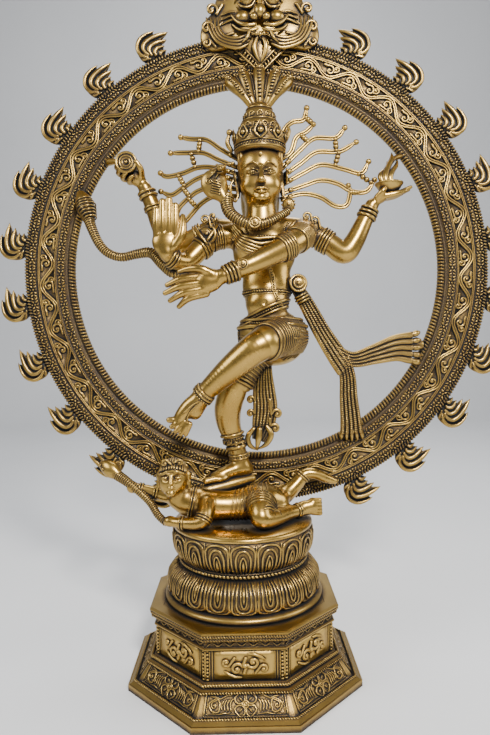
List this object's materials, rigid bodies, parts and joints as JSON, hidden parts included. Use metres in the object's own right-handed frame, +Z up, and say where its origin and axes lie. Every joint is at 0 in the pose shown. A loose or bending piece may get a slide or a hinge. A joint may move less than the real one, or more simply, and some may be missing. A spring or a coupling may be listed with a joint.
{
  "type": "dancing figure statue",
  "caption": "Cast brass four-armed dancing figure inside a flaming ring, on a double lotus and an octagonal plinth.",
  "frame": {"origin": "on the floor, below the centre of the ring and level with the pedestal's middle, front to back", "axes": "+Z up, -Y is the front of the statue, +X is the viewer's right"},
  "size_m": [0.5568, 0.228, 0.745],
  "materials": {
    "antique_brass": "cast brass with a dark patina left in the recesses and the raised work polished back",
    "polished_brass": "smooth cast brass, buffed",
    "satin_panels": "flat brushed brass with a raised scroll emblem",
    "steel_ties": "plain zinc-plated steel"
  },
  "bodies": {
    "root": {"anklets": "antique_brass", "arm_cobra": "antique_brass", "armlets": "antique_brass", "aureole_feet": "antique_brass", "aureole_flames": "antique_brass", "aureole_ring": "antique_brass", "bracelets": "antique_brass", "cobra_crest": "antique_brass", "collar": "antique_brass", "cross_band": "antique_brass", "crown": "antique_brass", "dwarf_body": "antique_brass", "dwarf_cobra": "antique_brass", "dwarf_head": "antique_brass", "dwarf_left_arm": "antique_brass", "dwarf_left_leg": "antique_brass", "dwarf_right_arm": "antique_brass", "dwarf_right_leg": "antique_brass", "ear_ornaments": "antique_brass", "emblem_panels": "satin_panels", "flame_bowl": "antique_brass", "floral_panels": "antique_brass", "foot_pad": "antique_brass", "front_left_arm": "polished_brass", "front_left_hand": "polished_brass", "front_right_arm": "polished_brass", "front_right_hand": "polished_brass", "hair_locks_left": "antique_brass", "hair_locks_right": "antique_brass", "hand_drum": "antique_brass", "hanging_sash": "antique_brass", "head": "polished_brass", "kirtimukha_crest": "antique_brass", "lotus_base_ring": "antique_brass", "lotus_lower_petals": "antique_brass", "lotus_lower_tier": "antique_brass", "lotus_upper_petals": "antique_brass", "lotus_upper_tier": "antique_brass", "lotus_waist_band": "antique_brass", "neck_cobra": "antique_brass", "plinth_lower_tier": "antique_brass", "plinth_upper_tier": "antique_brass", "raised_foot": "polished_brass", "raised_leg": "polished_brass", "rear_left_arm": "polished_brass", "rear_left_hand": "polished_brass", "rear_right_arm": "polished_brass", "rear_right_hand": "polished_brass", "rope_mouldings": "antique_brass", "seat_disc": "polished_brass", "shorts": "antique_brass", "side_sash": "antique_brass", "standing_foot": "polished_brass", "standing_leg": "polished_brass", "tie_cross_bar": "steel_ties", "tie_nut": "steel_ties", "tie_rod": "steel_ties", "torso": "polished_brass", "waist_belt": "antique_brass"}
  },
  "joints": []
}
